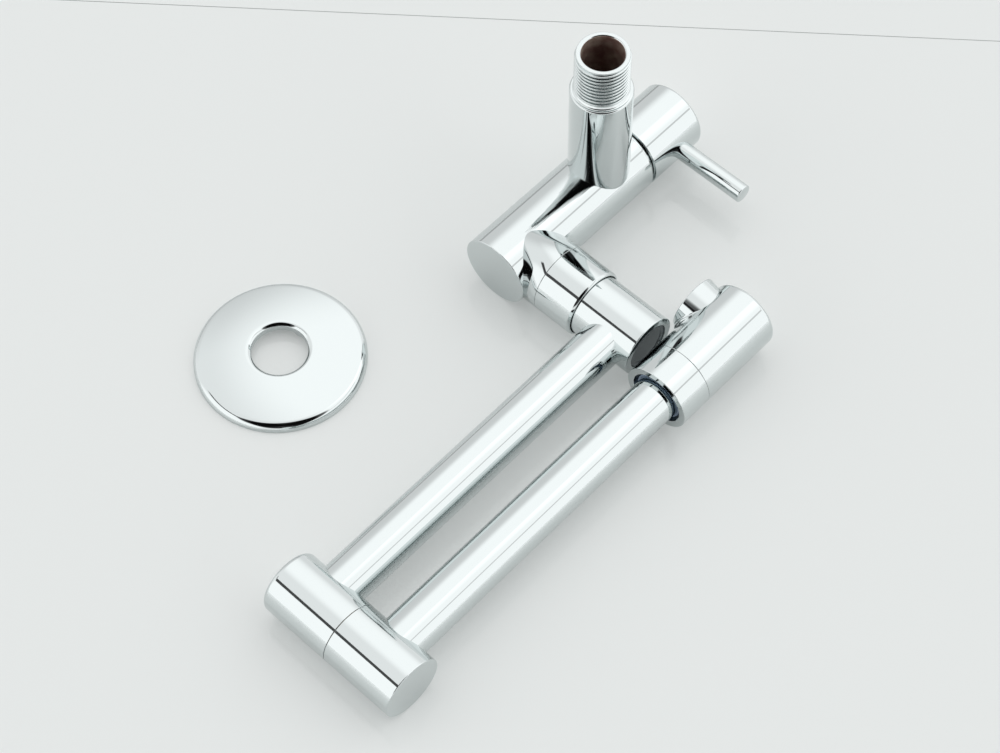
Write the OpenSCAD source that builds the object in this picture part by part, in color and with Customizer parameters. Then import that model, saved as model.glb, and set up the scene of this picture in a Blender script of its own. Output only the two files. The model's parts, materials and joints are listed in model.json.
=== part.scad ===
// Folding wall-mounted pot filler in chromed brass, shown folded on a table with its wall flange
// beside it. The origin is on the inlet axis at the shoulder of the thread. +Z runs out of the
// thread, +X towards the handle, and the two arms lie on the -Y side. Millimetres.

/* [Inlet] */
// Outside diameter of the inlet thread
thread_d = 20.955; // [20:0.005:22]
// Pitch of the inlet thread
thread_pitch = 1.814; // [1.4:0.002:2.2]
// Depth of the thread grooves
thread_depth = 1.162; // [0.8:0.002:1.3]
// Width of the flat on each thread crest
thread_flat = 0.4; // [0.2:0.05:0.5]
// Distance from the end of the thread to its first crest
thread_lead = 0.88; // [0.5:0.02:1.2]
// Length of the thread above the shoulder
thread_len = 20; // [14:0.5:26]
// Outside diameter of the plain inlet tube
shank_d = 24; // [22.5:0.5:27]
// Bore of the inlet
inlet_bore_d = 16; // [12:0.5:16.5]
// Distance from the shoulder of the thread to the axis of the valve body
inlet_len = 57; // [45:0.5:75]
// Bore of the port between the inlet tube and the valve
inlet_port_d = 13; // [10:0.5:14]
// Length of that port in the foot of the inlet tube
inlet_floor = 4.5; // [3.8:0.1:6]
// Wall of the spigot that is brazed into the valve body
shank_spigot_wall = 2; // [1:0.1:2.5]
// Depth of that spigot in the valve body
shank_spigot_len = 3.5; // [2:0.1:4]
// Chamfer on the shoulder of the inlet tube
shank_edge = 0.5; // [0.2:0.1:1]
// Chamfer at the mouth of the inlet bore
bore_edge = 0.5; // [0.1:0.1:0.7]

/* [Valve body] */
// Diameter of the valve body
body_d = 29; // [27.5:0.5:33]
// Distance from the inlet axis to the closed end of the valve body
body_left = 58; // [56:0.5:70]
// Distance from the inlet axis to the handle end of the valve body
body_right = 15.6; // [14.6:0.1:20]
// Wall round the outlet chamber
body_wall = 3.5; // [2.5:0.1:4]
// Thickness of the closed end
body_end_wall = 4; // [3:0.5:6]
// Thickness of the seat between the two chambers
seat_wall = 3; // [2:0.5:5]
// Hole through the valve seat
seat_hole_d = 10; // [8:0.5:11]
// Chamfer round the closed end
body_edge = 0.4; // [0.2:0.1:1]

/* [Neck swivel] */
// Distance from the inlet axis to the axis of the neck
neck_x = 43.7; // [41:0.1:48]
// Diameter of the neck and of its sleeve nut
neck_d = 28; // [27.5:0.5:30]
// Distance from the valve body's axis to the seam under the sleeve nut
neck_len = 20; // [17:0.5:24]
// Length of the neck's threaded spigot
neck_spigot_len = 8.5; // [6:0.5:10]
// Wall of the neck's foot that is brazed into the valve body
neck_foot_wall = 2; // [1:0.1:2.5]
// Depth of that foot in the valve body
neck_foot_len = 2.5; // [1.5:0.1:3]
// Wall of the sleeve nut over the spigot
nut_wall = 2; // [1.5:0.1:2.5]
// Length of the sleeve nut
nut_len = 17.2; // [16:0.1:20]
// Thickness of the lip inside the sleeve nut
nut_lip = 2.1; // [1.5:0.1:2.5]
// Chamfer at the end of the sleeve nut, measured across the rim
nut_edge = 0.7; // [0.3:0.1:1]
// Bore of the neck
swivel_bore_d = 16; // [13:0.5:16.5]
// Diameter of the post's shank in the lip of the sleeve nut
post_shank_d = 18.9; // [18:0.1:20]
// Length of the post's shank before its retaining ring
post_land = 1; // [0.6:0.1:1.5]
// Thickness of the split retaining ring
split_ring_t = 1.8; // [1.2:0.1:2.2]
// Width of the split retaining ring
split_ring_w = 2.6; // [1.8:0.1:2.8]
// Depth of the ring's groove in the post
split_ring_groove = 0.5; // [0.3:0.05:0.8]
// Opening in the split retaining ring
split_ring_cut = 3; // [1:0.5:5]
// Thickness of the slip washer under the lip
slip_washer_t = 0.5; // [0.3:0.05:0.8]
// Length of the post's spigot in the neck
post_spigot_len = 16.7; // [15:0.1:17.5]
// Distance from the tip of that spigot to its first sealing ring
post_ring_first = 3; // [2:0.1:4]
// Distance between its sealing rings
post_ring_step = 6; // [4:0.1:8]
// Waterway through the spigots
waterway_d = 11; // [8:0.5:11.5]

/* [Post and arms] */
// Diameter of the post at the inner end of the first arm
post_d = 25; // [24:0.5:25.5]
// Gap between the post and the rim of the sleeve nut
post_gap = 0.4; // [0.2:0.05:0.5]
// Chamfer round the end of the post
post_edge = 0.4; // [0.2:0.1:0.8]
// Distance from the first arm's axis to the flat end of the post
post_tail = 13.4; // [12.8:0.1:14.4]
// Bore of the chambers in the post
post_bore_d = 16; // [14:0.5:16.5]
// Wall between the shoulder of the post and its chamber
post_floor = 3.7; // [3:0.1:4.5]
// Diameter of the plug in the end of the post
plug_d = 19; // [17.5:0.5:20]
// Thickness of the plug
plug_t = 2.4; // [1.6:0.1:2.6]
// How far the plug lies inside the end of the post
plug_sink = 0.6; // [0.2:0.1:1]
// Distance from the valve body's axis to the first arm's axis
arm_1_y = 51; // [50:0.5:56]
// Distance from the neck axis to the knuckle axis
arm_1_len = 157.6; // [130:0.1:200]
// Distance between the axes of the two arms
arms_apart = 30; // [29:0.5:36]
// Outside diameter of the arm tubes
arm_d = 18; // [15:0.5:18.5]
// Wall of the arm tubes
arm_wall = 1.5; // [1:0.1:2]
// How far each arm tube stops outside the bore that it meets
arm_seat = 0.35; // [0.2:0.05:0.6]

/* [Knuckle] */
// Diameter of the knuckle
knuckle_d = 25; // [24:0.5:28]
// Distance from the first arm's axis to the rounded end
knuckle_top = 15.7; // [14.5:0.1:18]
// Distance from the second arm's axis to the flat end
knuckle_tail = 15.5; // [14.5:0.1:18]
// Rounding of the upper end
knuckle_round = 2; // [0.5:0.25:3]
// Chamfer round the flat end
knuckle_edge = 0.4; // [0.2:0.1:1]
// Thickness of both end walls
knuckle_end_wall = 4.5; // [3:0.1:5]
// Bore of the knuckle
knuckle_bore_d = 16; // [14:0.5:16.5]
// Diameter of the cross holes in the spindle
spindle_hole_d = 8; // [5:0.5:9]
// Depth of the waist round the upper cross holes
spindle_waist = 1; // [0.5:0.1:1.4]
// Length of that waist
spindle_waist_len = 11; // [9:0.5:12]
// Depth of the retaining ring's grooves in the spindle and in the bore
clip_groove = 0.9; // [0.6:0.05:1.1]
// Thickness of the retaining ring
clip_t = 1.1; // [0.8:0.1:1.3]
// Opening in the retaining ring
clip_cut = 3; // [1:0.5:5]
// Distance from the knuckle's seam to the retaining ring
clip_back = 3.9; // [3.5:0.1:4.3]
// Land between the retaining ring's groove and the upper sealing ring
upper_land = 0.35; // [0.2:0.05:0.6]
// Land between the knuckle's seam and the lower sealing ring
lower_land = 0.9; // [0.5:0.05:1.2]

/* [Spout] */
// How far the spout's open rim stops short of the neck axis when the arms are folded
spout_back = 14.4; // [12:0.1:15]
// Length of the spout's collar nut
collar_nut_len = 13.8; // [13.3:0.1:18]
// Length of the spout's head
head_len = 37; // [36:0.5:42]
// Rounding of the head's end
head_round = 1.8; // [0.5:0.1:3]
// Wall of the head round its chamber
head_wall = 3.5; // [2.5:0.1:4]
// Width of the flat open rim
rim_w = 2.75; // [2:0.05:3]
// Depth of the recess in the open rim
rim_recess = 2.8; // [1.5:0.1:3]
// Wall of the guide bush round the second arm
bush_wall = 0.85; // [0.6:0.05:1]
// Distance from the open rim to the guide bush
bush_sink = 1.2; // [0.6:0.1:1.6]
// Length of the guide bush
bush_len = 5.5; // [4.6:0.1:6]
// Wall of the collar nut over the head's spigot
collar_nut_wall = 1.75; // [1.4:0.05:2]
// Thickness of the ring that is brazed on the second arm
tube_ring_t = 2.5; // [1.5:0.1:3]
// Width of that ring
tube_ring_w = 2.4; // [1.5:0.1:3]
// Room round that ring in the collar nut
tube_ring_gap = 0.6; // [0.3:0.05:1]
// How far the second arm reaches past the collar nut
tube_tail = 9; // [8:0.5:12]
// Distance from the collar nut to the first sealing ring on the second arm
spout_ring_first = 2; // [1.5:0.1:3]
// Distance between the spout's sealing rings
spout_ring_step = 3.5; // [2.5:0.1:4]

/* [Outlet] */
// Diameter of the outlet
outlet_d = 21.6; // [19:0.1:22]
// Distance between the outlet's side and the closed end of the head
outlet_side = 0.2; // [0.1:0.1:1]
// Distance from the spout's axis to the outlet's rim
outlet_reach = 17.4; // [16.8:0.1:18]
// Flare of the outlet's foot on the side of the collar nut
outlet_foot = 2.5; // [1.5:0.1:3]
// Turn of the outlet towards the table
outlet_roll = -6; // [-10:1:12]
// Wall of the outlet round the aerator
outlet_wall = 1.6; // [1.2:0.1:2.2]
// Chamfer round the outlet's rim
outlet_edge = 0.5; // [0.2:0.1:0.8]
// Length of the aerator's housing
aerator_len = 6; // [5:0.1:6.5]
// Wall of the aerator's housing
aerator_wall = 1.2; // [0.8:0.1:1.6]
// How far the aerator lies inside the rim
aerator_sink = 0.5; // [0.2:0.1:1]
// Thickness of the aerator's washer
aerator_washer_t = 1.2; // [0.8:0.1:1.6]
// Thickness of the slotted face of the aerator's insert
aerator_face_t = 2.5; // [1.5:0.1:3]
// Width of the slots in the aerator's insert
aerator_slot = 0.8; // [0.5:0.1:1]

/* [Handle] */
// Distance between the valve body and the handle cap
cap_gap = 2; // [1.6:0.1:3]
// Diameter of the handle cap
cap_d = 29; // [28:0.5:32]
// Length of the handle cap
cap_len = 26.9; // [26:0.1:32]
// Rounding of the handle cap's end
cap_round = 1.5; // [0.5:0.1:3]
// Wall of the handle cap round its recess
cap_wall = 2.5; // [1.5:0.1:3]
// Depth of the recess in the handle cap
cap_recess = 10; // [7:0.5:10.5]
// Thickness of the handle cap's end over the spindle
cap_end_wall = 5.4; // [3:0.1:5.5]
// Distance from the valve body's end to the lever's axis
lever_x = 17.5; // [17:0.1:19]
// Diameter of the lever
lever_d = 7.5; // [6.5:0.5:8.5]
// Distance from the handle's axis to the tip of the lever
lever_reach = 45.2; // [38:0.1:48]
// Depth of the lever's spot face in the cap
lever_sink = 1; // [0.7:0.1:1.5]
// Chamfer round the lever's tip
lever_edge = 0.4; // [0.2:0.1:1]
// Diameter of the lever's stud
stud_d = 5; // [4:0.5:5.5]
// Length of the stud inside the lever
stud_len = 8; // [5:0.5:10]

/* [Cartridge] */
// Bore that holds the cartridge
cart_bore_d = 20; // [19:0.5:20.5]
// Clearance round the cartridge
cart_gap = 0.1; // [0.05:0.05:0.2]
// Length of the cartridge's barrel
cart_len = 22.6; // [21.5:0.1:23.5]
// Wall of the cartridge's barrel
cart_wall = 1.35; // [1:0.05:1.6]
// Thickness of the cartridge's flange
cart_flange_t = 2; // [1.5:0.1:2.5]
// How far the flange and nut stand wider than the cartridge bore, across
cart_step = 2; // [1.5:0.1:2.5]
// Length of the nut's thread in the valve body
cart_nut_len = 3; // [2.5:0.1:3.5]
// Diameter of the nut's flange, seen in the gap under the cap
cart_nut_flange_d = 26; // [23:0.5:27]
// Diameter of the cartridge's neck in the nut
cart_neck_d = 15.8; // [13:0.1:16]
// How far the cartridge's neck stands out of the valve body
cart_neck_out = 4; // [3:0.1:6]
// Length of the solid part of the barrel
cart_land = 7.6; // [7:0.1:8.5]
// Diameter of the cross holes in the barrel
cart_window_d = 7; // [5:0.5:7.5]
// Diameter of the valve spindle
stem_d = 8; // [6.5:0.5:8]
// Diameter of the foot that turns the moving disc
stem_foot_d = 14; // [12:0.5:14.5]
// Thickness of that foot
stem_foot_t = 2; // [1.5:0.1:2.5]
// Diameter of the collar that keeps the valve spindle in
stem_collar_d = 12; // [10:0.5:13]
// Thickness of that collar
stem_collar_t = 1.7; // [1:0.1:2]
// Depth of the flat under the lever's stud
stem_flat = 1; // [0.5:0.1:1.5]
// Thickness of the fixed ceramic disc
fixed_disc_t = 3; // [2.5:0.1:3.5]
// Thickness of the moving ceramic disc
moving_disc_t = 2.5; // [2:0.1:3]
// Diameter of the ports in both discs
port_d = 4.6; // [3:0.1:4.8]
// Distance from the axis to the ports
port_r = 4; // [3:0.1:4.2]
// Thickness of the seal on the valve seat
seal_t = 2; // [1.5:0.1:2.5]
// Width of the seal on the valve seat
seal_w = 3.6; // [2.5:0.1:4]

/* [Seals] */
// Depth of the grooves of the larger sealing rings
seal_groove = 1.4; // [1:0.05:1.5]
// Depth of the groove of the spindle's sealing ring
stem_groove = 1; // [0.7:0.05:1.2]
// Extra width of each groove beyond its sealing ring
groove_room = 0.3; // [0.1:0.05:0.4]

/* [Wall flange] */
// Diameter of the wall flange
flange_d = 65.5; // [55:0.1:75]
// Height of the wall flange
flange_h = 6.5; // [5:0.1:9]
// Thickness of its sheet
flange_t = 0.8; // [0.5:0.1:1.2]
// Rounding of its edge
flange_round = 3.6; // [2:0.1:5]
// Height of the plain rim under that rounding
flange_rim = 0.2; // [0.1:0.05:1]
// Clearance between the flange and the inlet's thread
flange_gap = 0.25; // [0.2:0.05:0.5]
// Width of the ring at which the sheet turns down into the hole
flange_eye_d = 24; // [23.5:0.1:26]
// Depth of the funnel between that ring and the hole
flange_lip = 1.1; // [0.8:0.1:1.5]
// Height of the straight collar below the funnel
flange_collar = 1.6; // [1:0.1:2]
// Width of the small tongue under the lip
tongue_w = 3.6; // [2.5:0.1:5]
// Height of that tongue
tongue_h = 1.1; // [0.5:0.1:1.2]
// Direction of the tongue, from +X towards +Y
tongue_at = 8; // [0:1:90]
// Distance of the flange from the inlet axis along -X
flange_x = 134.1; // [125:0.1:150]
// Distance of the flange from the inlet axis along +Y
flange_y = 38.8; // [38:0.1:50]

/* [Fits] */
// Clearance between turning round surfaces
run_gap = 0.05; // [0.02:0.01:0.1]
// Clearance between turning faces
face_gap = 0.2; // [0.1:0.05:0.3]
// Width of the fine seams between screwed pieces
seam = 0.1; // [0.05:0.05:0.2]
// Slack of the sealing rings in their grooves
ring_slack = 0.04; // [0.02:0.01:0.08]

/* [Hidden] */
$fn = 96;
eps = 0.01;

// The collar nut's room for the ring on the second arm, and with it the spout's diameter
collar_thread_d = arm_d + 2 * tube_ring_w + 2 * tube_ring_gap;
spout_d = collar_thread_d + 2 * collar_nut_wall;

// The pieces rest on the table: the smaller knuckle lets the first arm dip, and the wider spout
// lifts the second arm.
table_z = -inlet_len - body_d / 2;
tilt_1 = asin((body_d - knuckle_d) / 2 / arm_1_len);
rim_x = arm_1_len - spout_back;
tilt_2 = asin((spout_d - knuckle_d) / 2 / rim_x);
knuckle_x = -neck_x - arm_1_len * cos(tilt_1);
knuckle_z = -inlet_len - arm_1_len * sin(tilt_1);
arm_2_y = arm_1_y + arms_apart;
seam_y = arm_1_y + arms_apart / 2;

// Inlet
thread_root = thread_d / 2 - thread_depth;
crests = floor((thread_len - thread_lead - thread_pitch / 2) / thread_pitch) + 1;
socket_z = body_d / 2 - shank_spigot_len;
socket_d = inlet_port_d + 2 * shank_spigot_wall;
bore_floor = -inlet_len + socket_z + inlet_floor;

// Cartridge, along X from the handle end
cart_mouth = body_right - cart_nut_len - cart_flange_t;
cart_end = cart_mouth - cart_len;
seat_x = cart_end - seal_t;
chamber_x = seat_x - seat_wall;
cart_room = cart_mouth - cart_land;
cart_d = cart_bore_d - 2 * cart_gap;
cart_in_d = cart_d - 2 * cart_wall;
disc_x = cart_end + fixed_disc_t;
moving_x = disc_x + run_gap;
foot_x = moving_x + moving_disc_t;
collar_x = cart_room - face_gap - stem_collar_t;
window_x = (foot_x + stem_foot_t + collar_x) / 2;
cap_x = body_right + cap_gap;
cap_end = cap_x + cap_len;
stem_end = cap_end - cap_end_wall;
cap_floor = cap_x + cap_recess;
lever_at = body_right + lever_x;
stem_bore_d = stem_d + 2 * run_gap;

// Neck swivel, along -Y from the valve body's axis
spigot_end = neck_len + neck_spigot_len;
foot_y = body_d / 2 - neck_foot_len;
foot_d = swivel_bore_d + 2 * neck_foot_wall;
shank_y = spigot_end + face_gap;
ring_y = shank_y + post_land;
ring_end = ring_y + split_ring_t;
lip_y = ring_end + slip_washer_t + face_gap / 2;
lip_end = lip_y + nut_lip;
post_y = lip_end + face_gap;
nut_end = neck_len + nut_len;
nut_thread_d = neck_d - 2 * nut_wall;
nut_mouth_d = post_d + 2 * post_gap;
nut_chamfer = min(nut_edge, 0.6 * (neck_d - nut_mouth_d) / 2);
nut_lip_d = post_shank_d + 2 * run_gap;
ring_in_d = post_shank_d - 2 * split_ring_groove;
ring_out_d = min(ring_in_d + 2 * split_ring_w, nut_thread_d - 2 * face_gap);
post_spigot_d = swivel_bore_d - 2 * run_gap;
spigot_tip = shank_y - post_spigot_len;
post_ring_y = [spigot_tip + post_ring_first, spigot_tip + post_ring_first + post_ring_step];
post_end = arm_1_y + post_tail;
plug_y = post_end - plug_sink - plug_t;

// Arms
arm_in_d = arm_d - 2 * arm_wall;
post_seat = post_bore_d / 2 + arm_seat;
knuckle_seat = knuckle_bore_d / 2 + arm_seat;

// Knuckle, along -Y from the valve body's axis
top_y = arm_1_y - knuckle_top;
bottom_y = arm_2_y + knuckle_tail;
half_gap = face_gap / 2;
spindle_d = knuckle_bore_d - 2 * run_gap;
clip_y = seam_y - clip_back - clip_t;
clip_out_d = knuckle_bore_d + 2 * clip_groove - 2 * run_gap;
clip_in_d = spindle_d - 2 * clip_groove + 4 * run_gap;
bore_top = top_y + knuckle_end_wall;
bore_bottom = bottom_y - knuckle_end_wall;
clip_room = face_gap / 2;
upper_ring_y = clip_y - clip_room - (seal_groove + groove_room) / 2 - upper_land;
lower_ring_y = seam_y - half_gap - (seal_groove + groove_room) / 2 - lower_land;

// Spout, along the second arm from the knuckle's axis
head_x = rim_x + collar_nut_len;
head_end = head_x + head_len;
rim_recess_d = spout_d - 2 * rim_w;
bush_d = arm_d + 2 * run_gap + 2 * bush_wall;
bush_x = rim_x + bush_sink;
bush_end = bush_x + bush_len;
tube_ring_x = bush_end + face_gap;
head_spigot_x = tube_ring_x + tube_ring_t + face_gap;
tube_end = head_x + tube_tail;
head_bore_d = arm_d + 2 * run_gap;
head_room = tube_end + face_gap;
spout_ring_x = [head_x + spout_ring_first, head_x + spout_ring_first + spout_ring_step];
outlet_at = head_end - outlet_side - outlet_d / 2;
outlet_in_d = outlet_d - 2 * outlet_wall;
aerator_end = outlet_reach - aerator_sink;
aerator_top = aerator_end - aerator_len;
washer_top = aerator_top - aerator_washer_t;

// Flange
hole_d = thread_d + 2 * flange_gap;
eye_r = flange_eye_d / 2;
lip_slope = flange_lip / (eye_r - hole_d / 2);
lip_land = flange_t * sqrt(1 + pow(lip_slope, 2));
lip_low = flange_h - flange_lip - lip_land;
collar_low = lip_low - flange_collar;
// The dome passes through the ring round the hole and runs smoothly into the rounding of the rim: its
// centre lies at dome_z on the axis, and dome_at is the angle at which dome and rounding meet.
flange_r = flange_d / 2;
round_x = flange_r - flange_round;
dome_m = (flange_h - flange_rim) / flange_round;
dome_k = (pow(round_x, 2) + pow(flange_rim, 2) - pow(eye_r, 2) - pow(flange_h, 2)
    - pow(flange_round, 2)) / (2 * flange_round);
dome_a = pow(dome_m, 2) - 1;
dome_b = 2 * (dome_k * dome_m + flange_h);
dome_c = pow(dome_k, 2) - pow(eye_r, 2) - pow(flange_h, 2);
dome_z = -(dome_b + sqrt(pow(dome_b, 2) - 4 * dome_a * dome_c)) / (2 * dome_a);
dome_r = sqrt(pow(eye_r, 2) + pow(flange_h - dome_z, 2));
dome_at = atan2(round_x, flange_rim - dome_z);

chrome = [0.80, 0.82, 0.84];
brass = [0.72, 0.56, 0.30];
rubber = [0.08, 0.08, 0.09];
plastic = [0.30, 0.36, 0.44];
ceramic = [0.93, 0.91, 0.86];

// Places of the moving bodies
module at_body() { translate([0, 0, -inlet_len]) children(); }
module at_neck() { translate([-neck_x, 0, -inlet_len]) children(); }
module at_arm_1() { at_neck() rotate([0, -tilt_1, 0]) children(); }
module at_arm_2() { translate([knuckle_x, 0, knuckle_z]) rotate([0, -tilt_2, 0]) children(); }
module at_spout() { at_arm_2() translate([0, -arm_2_y, 0]) rotate([-outlet_roll, 0, 0]) children(); }
module at_outlet() { at_spout() translate([outlet_at, 0, 0]) rotate([-90, 0, 0]) children(); }

// Round bars along X, along -Y and along Z, given by where they begin and end
module bar_x(d, x0, x1) { translate([x0, 0, 0]) rotate([0, 90, 0]) cylinder(d = d, h = x1 - x0); }
module bar_y(d, y0, y1) { translate([0, -y0, 0]) rotate([90, 0, 0]) cylinder(d = d, h = y1 - y0); }
module bar_z(d, z0, z1) { translate([0, 0, z0]) cylinder(d = d, h = z1 - z0); }

// A bar along Z with its far edge cut back by a chamfer, and one with its far edge rounded
module chamfered(d, len, across, along) {
    rotate_extrude()
        polygon([[0, 0], [d / 2, 0], [d / 2, len - along], [d / 2 - across, len], [0, len]]);
}
module rounded(d, len, r) {
    rotate_extrude() {
        square([d / 2 - r, len]);
        square([d / 2, len - r]);
        translate([d / 2 - r, len - r]) circle(r);
    }
}

// A ring groove for a seal, cut into a shaft round Z and centred on z = 0
module shaft_groove(d, depth) {
    w = depth + groove_room;
    difference() {
        bar_z(d + 2, -w / 2, w / 2);
        bar_z(d - 2 * depth, -w, w);
    }
}
// The sealing ring that lies in a groove whose mouth has this diameter
module shaft_ring(d, depth) {
    rotate_extrude() translate([(d - depth) / 2, 0]) circle(d = depth - ring_slack);
}
module bore_ring(d, depth) {
    rotate_extrude() translate([(d + depth) / 2, 0]) circle(d = depth - ring_slack);
}
module at_y(y) { translate([0, -y, 0]) rotate([90, 0, 0]) children(); }
module at_x(x) { translate([x, 0, 0]) rotate([0, 90, 0]) children(); }

// Valve body

module valve_body() {
    color(chrome) at_body() difference() {
        translate([body_right, 0, 0]) rotate([0, -90, 0])
            chamfered(body_d, body_right + body_left, body_edge, body_edge);
        bar_x(body_d - 2 * body_wall, -body_left + body_end_wall, chamber_x);
        bar_x(seat_hole_d, chamber_x - 1, seat_x + 1);
        bar_x(cart_bore_d, seat_x, body_right + 1);
        bar_x(cart_bore_d + cart_step, cart_mouth, body_right + 1);
        translate([-neck_x, 0, 0]) {
            bar_y(swivel_bore_d, 0, body_d);
            bar_y(foot_d, foot_y, body_d);
        }
        bar_z(inlet_port_d, 0, body_d);
        bar_z(socket_d, socket_z, body_d);
    }
}

module thread_profile() {
    top = thread_len - thread_lead;
    polygon(concat(
        [[0, -1], [thread_root, -1]],
        [for (k = [crests - 1:-1:0]) for (p = [
            [thread_root, top - k * thread_pitch - thread_pitch / 2],
            [thread_d / 2, top - k * thread_pitch - thread_flat / 2],
            [thread_d / 2, top - k * thread_pitch + thread_flat / 2]]) p],
        [[thread_root, thread_len], [0, thread_len]]));
}

module inlet_shank() {
    color(chrome) difference() {
        union() {
            rotate_extrude() thread_profile();
            at_body() chamfered(shank_d, inlet_len, shank_edge, shank_edge);
        }
        at_body() difference() {
            bar_x(body_d, -shank_d, shank_d);
            bar_z(socket_d, socket_z, body_d);
        }
        at_body() translate([0, 0, -shank_d]) cylinder(d = 2 * shank_d, h = shank_d);
        bar_z(inlet_port_d, -inlet_len, bore_floor + 1);
        bar_z(inlet_bore_d, bore_floor, thread_len + 1);
        translate([0, 0, thread_len - bore_edge])
            cylinder(d1 = inlet_bore_d, d2 = inlet_bore_d + 4 * bore_edge, h = 2 * bore_edge);
    }
}

// Cartridge, along X in the valve body

module cartridge_body() {
    color(brass) at_body() difference() {
        union() {
            bar_x(cart_d, cart_end, cart_mouth + eps);
            bar_x(cart_bore_d + cart_step - 2 * cart_gap, cart_mouth, cart_mouth + cart_flange_t);
            bar_x(cart_neck_d, cart_mouth, body_right + cart_neck_out);
        }
        bar_x(cart_in_d, cart_end - 1, cart_room);
        bar_x(stem_bore_d, cart_room - 1, body_right + cart_neck_out + 1);
        translate([window_x, 0, 0]) {
            bar_z(cart_window_d, -cart_d, cart_d);
            bar_y(cart_window_d, -cart_d, cart_d);
        }
        at_x(cart_room + cart_land / 2) shaft_groove(cart_d, seal_groove);
    }
}

module cartridge_nut() {
    x0 = cart_mouth + cart_flange_t;
    color(chrome) at_body() difference() {
        union() {
            bar_x(cart_bore_d + cart_step, x0, body_right + eps);
            bar_x(cart_nut_flange_d, body_right, cap_x - 1.5 * face_gap);
        }
        bar_x(cart_neck_d + 2 * cart_gap, x0 - 1, cap_x);
    }
}

module cartridge_oring() {
    color(rubber) at_body() at_x(cart_room + cart_land / 2) shaft_ring(cart_d, seal_groove);
}

module seat_seal() {
    color(rubber) at_body() difference() {
        bar_x(cart_d, seat_x, cart_end);
        bar_x(cart_d - 2 * seal_w, seat_x - 1, cart_end + 1);
    }
}

// A ceramic disc with its two ports side by side along Y
module disc(x0, t) {
    difference() {
        bar_x(cart_in_d - 2 * run_gap, x0, x0 + t);
        for (s = [-1, 1])
            translate([0, s * port_r, 0]) bar_x(port_d, x0 - 1, x0 + t + 1);
    }
}
module fixed_disc() { color(ceramic) at_body() disc(cart_end, fixed_disc_t); }
module moving_disc() { color(ceramic) at_body() rotate([90, 0, 0]) disc(moving_x, moving_disc_t); }

// Handle

module spindle() {
    color(brass) at_body() difference() {
        union() {
            bar_x(stem_foot_d, foot_x, foot_x + stem_foot_t);
            bar_x(stem_d, foot_x, stem_end);
            bar_x(stem_collar_d, collar_x, collar_x + stem_collar_t);
        }
        at_x(cart_room + cart_land / 2) shaft_groove(stem_d, stem_groove);
        translate([lever_at - stud_d, -stem_d, -stem_d])
            cube([cap_len, stem_d / 2 + stem_flat, 2 * stem_d]);
    }
}

module spindle_oring() {
    color(rubber) at_body() at_x(cart_room + cart_land / 2) shaft_ring(stem_d, stem_groove);
}

module handle_cap() {
    color(chrome) at_body() difference() {
        at_x(cap_x) rounded(cap_d, cap_len, cap_round);
        bar_x(cap_d - 2 * cap_wall, cap_x - 1, cap_floor);
        bar_x(stem_d, cap_x, stem_end);
        translate([lever_at, 0, 0]) {
            bar_y(stud_d, 0, cap_d);
            bar_y(lever_d, cap_d / 2 - lever_sink, cap_d);
        }
    }
}

module lever_rod() {
    y0 = cap_d / 2 - lever_sink;
    color(chrome) at_body() translate([lever_at, 0, 0]) difference() {
        at_y(y0) chamfered(lever_d, lever_reach - y0, lever_edge, lever_edge);
        bar_y(stud_d, y0 - 1, y0 + stud_len);
    }
}

module lever_stud() {
    color(brass) at_body() translate([lever_at, 0, 0])
        bar_y(stud_d, stem_d / 2 - stem_flat, cap_d / 2 - lever_sink + stud_len);
}

// Neck swivel

module neck_branch() {
    color(chrome) at_neck() difference() {
        union() {
            bar_y(neck_d, 0, neck_len);
            bar_y(nut_thread_d, 0, spigot_end);
        }
        difference() {
            bar_x(body_d, -neck_d, neck_d);
            bar_y(foot_d, foot_y, body_d);
        }
        bar_y(swivel_bore_d, -1, spigot_end + 1);
    }
}

module swivel_nut() {
    color(chrome) at_neck() difference() {
        at_y(neck_len + seam)
            chamfered(neck_d, nut_len - seam, nut_chamfer, 1.4 * nut_chamfer);
        bar_y(nut_thread_d, neck_len - 1, lip_y);
        bar_y(nut_lip_d, lip_y - 1, nut_end + 1);
        bar_y(nut_mouth_d, lip_end, nut_end + 1);
    }
}

module swivel_post() {
    color(chrome) at_arm_1() difference() {
        union() {
            bar_y(post_spigot_d, spigot_tip, post_y + eps);
            bar_y(post_shank_d, shank_y, post_y + eps);
            at_y(post_y) chamfered(post_d, post_end - post_y, post_edge, post_edge);
        }
        for (y = post_ring_y) at_y(y) shaft_groove(post_spigot_d, seal_groove);
        difference() {
            bar_y(post_shank_d + 2, ring_y, ring_end);
            bar_y(ring_in_d, ring_y - 1, ring_end + 1);
        }
        bar_y(waterway_d, spigot_tip - 1, arm_1_y);
        bar_y(post_bore_d, post_y + post_floor, plug_y + eps);
        bar_y(plug_d, plug_y, post_end + 1);
        translate([0, -arm_1_y, 0]) {
            bar_x(arm_in_d, -post_d, 0);
            bar_x(arm_d, -post_d, -post_seat);
        }
    }
}

module post_orings() {
    color(rubber) at_arm_1() for (y = post_ring_y) at_y(y) shaft_ring(post_spigot_d, seal_groove);
}

module split_ring() {
    color(brass) at_arm_1() difference() {
        bar_y(ring_out_d, ring_y, ring_end);
        bar_y(ring_in_d, ring_y - 1, ring_end + 1);
        translate([0, -ring_end - 1, -split_ring_cut / 2]) cube([neck_d, split_ring_t + 2, split_ring_cut]);
    }
}

module slip_washer() {
    color(plastic) at_arm_1() difference() {
        bar_y(ring_out_d, ring_end, ring_end + slip_washer_t);
        bar_y(post_shank_d, ring_end - 1, ring_end + slip_washer_t + 1);
    }
}

module post_plug() { color(chrome) at_arm_1() bar_y(plug_d, plug_y, plug_y + plug_t); }

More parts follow.
